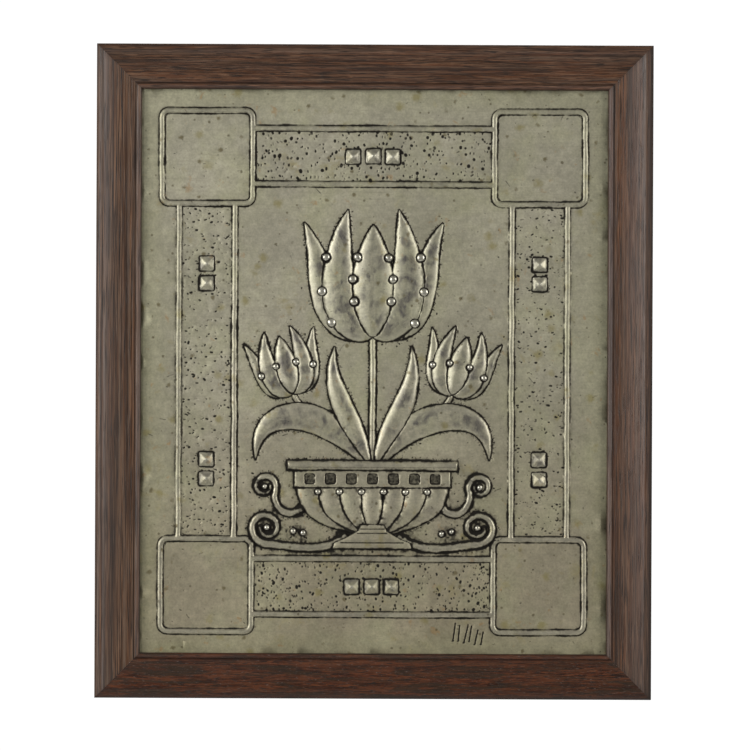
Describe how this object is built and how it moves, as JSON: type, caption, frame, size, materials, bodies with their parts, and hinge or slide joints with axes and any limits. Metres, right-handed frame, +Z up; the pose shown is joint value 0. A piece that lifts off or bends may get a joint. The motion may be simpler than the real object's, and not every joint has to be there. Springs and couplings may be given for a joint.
{
  "type": "pewter panel",
  "caption": "Upright rectangular wall panel of chased pewter, a tulip plant in a footed bowl inside a studded border, held in a mitred dark oak moulding.",
  "frame": {"origin": "middle of the flat back land of the top rail, where the panel hangs against the wall", "axes": "front faces -Y, the wall is the plane y = 0 with its face towards -Y, +Z up, +X to the right seen from the front"},
  "size_m": [0.305, 0.018, 0.3585],
  "materials": {
    "stained_oak": "open-grained oak, stained dark brown, waxed to a low sheen",
    "pewter": "old pewter, grey-green, satin, with dark patina in the chased lines",
    "hardboard": "plain brown hardboard, matt",
    "point_steel": "thin plain steel, dull"
  },
  "bodies": {
    "root": {"top_rail": "stained_oak", "bottom_rail": "stained_oak", "left_stile": "stained_oak", "right_stile": "stained_oak", "pewter_panel": "pewter", "backing_board": "hardboard", "top_glaziers_point_1": "point_steel", "top_glaziers_point_2": "point_steel", "left_glaziers_point_1": "point_steel", "left_glaziers_point_2": "point_steel", "bottom_glaziers_point_1": "point_steel", "bottom_glaziers_point_2": "point_steel", "right_glaziers_point_1": "point_steel", "right_glaziers_point_2": "point_steel"}
  },
  "joints": []
}
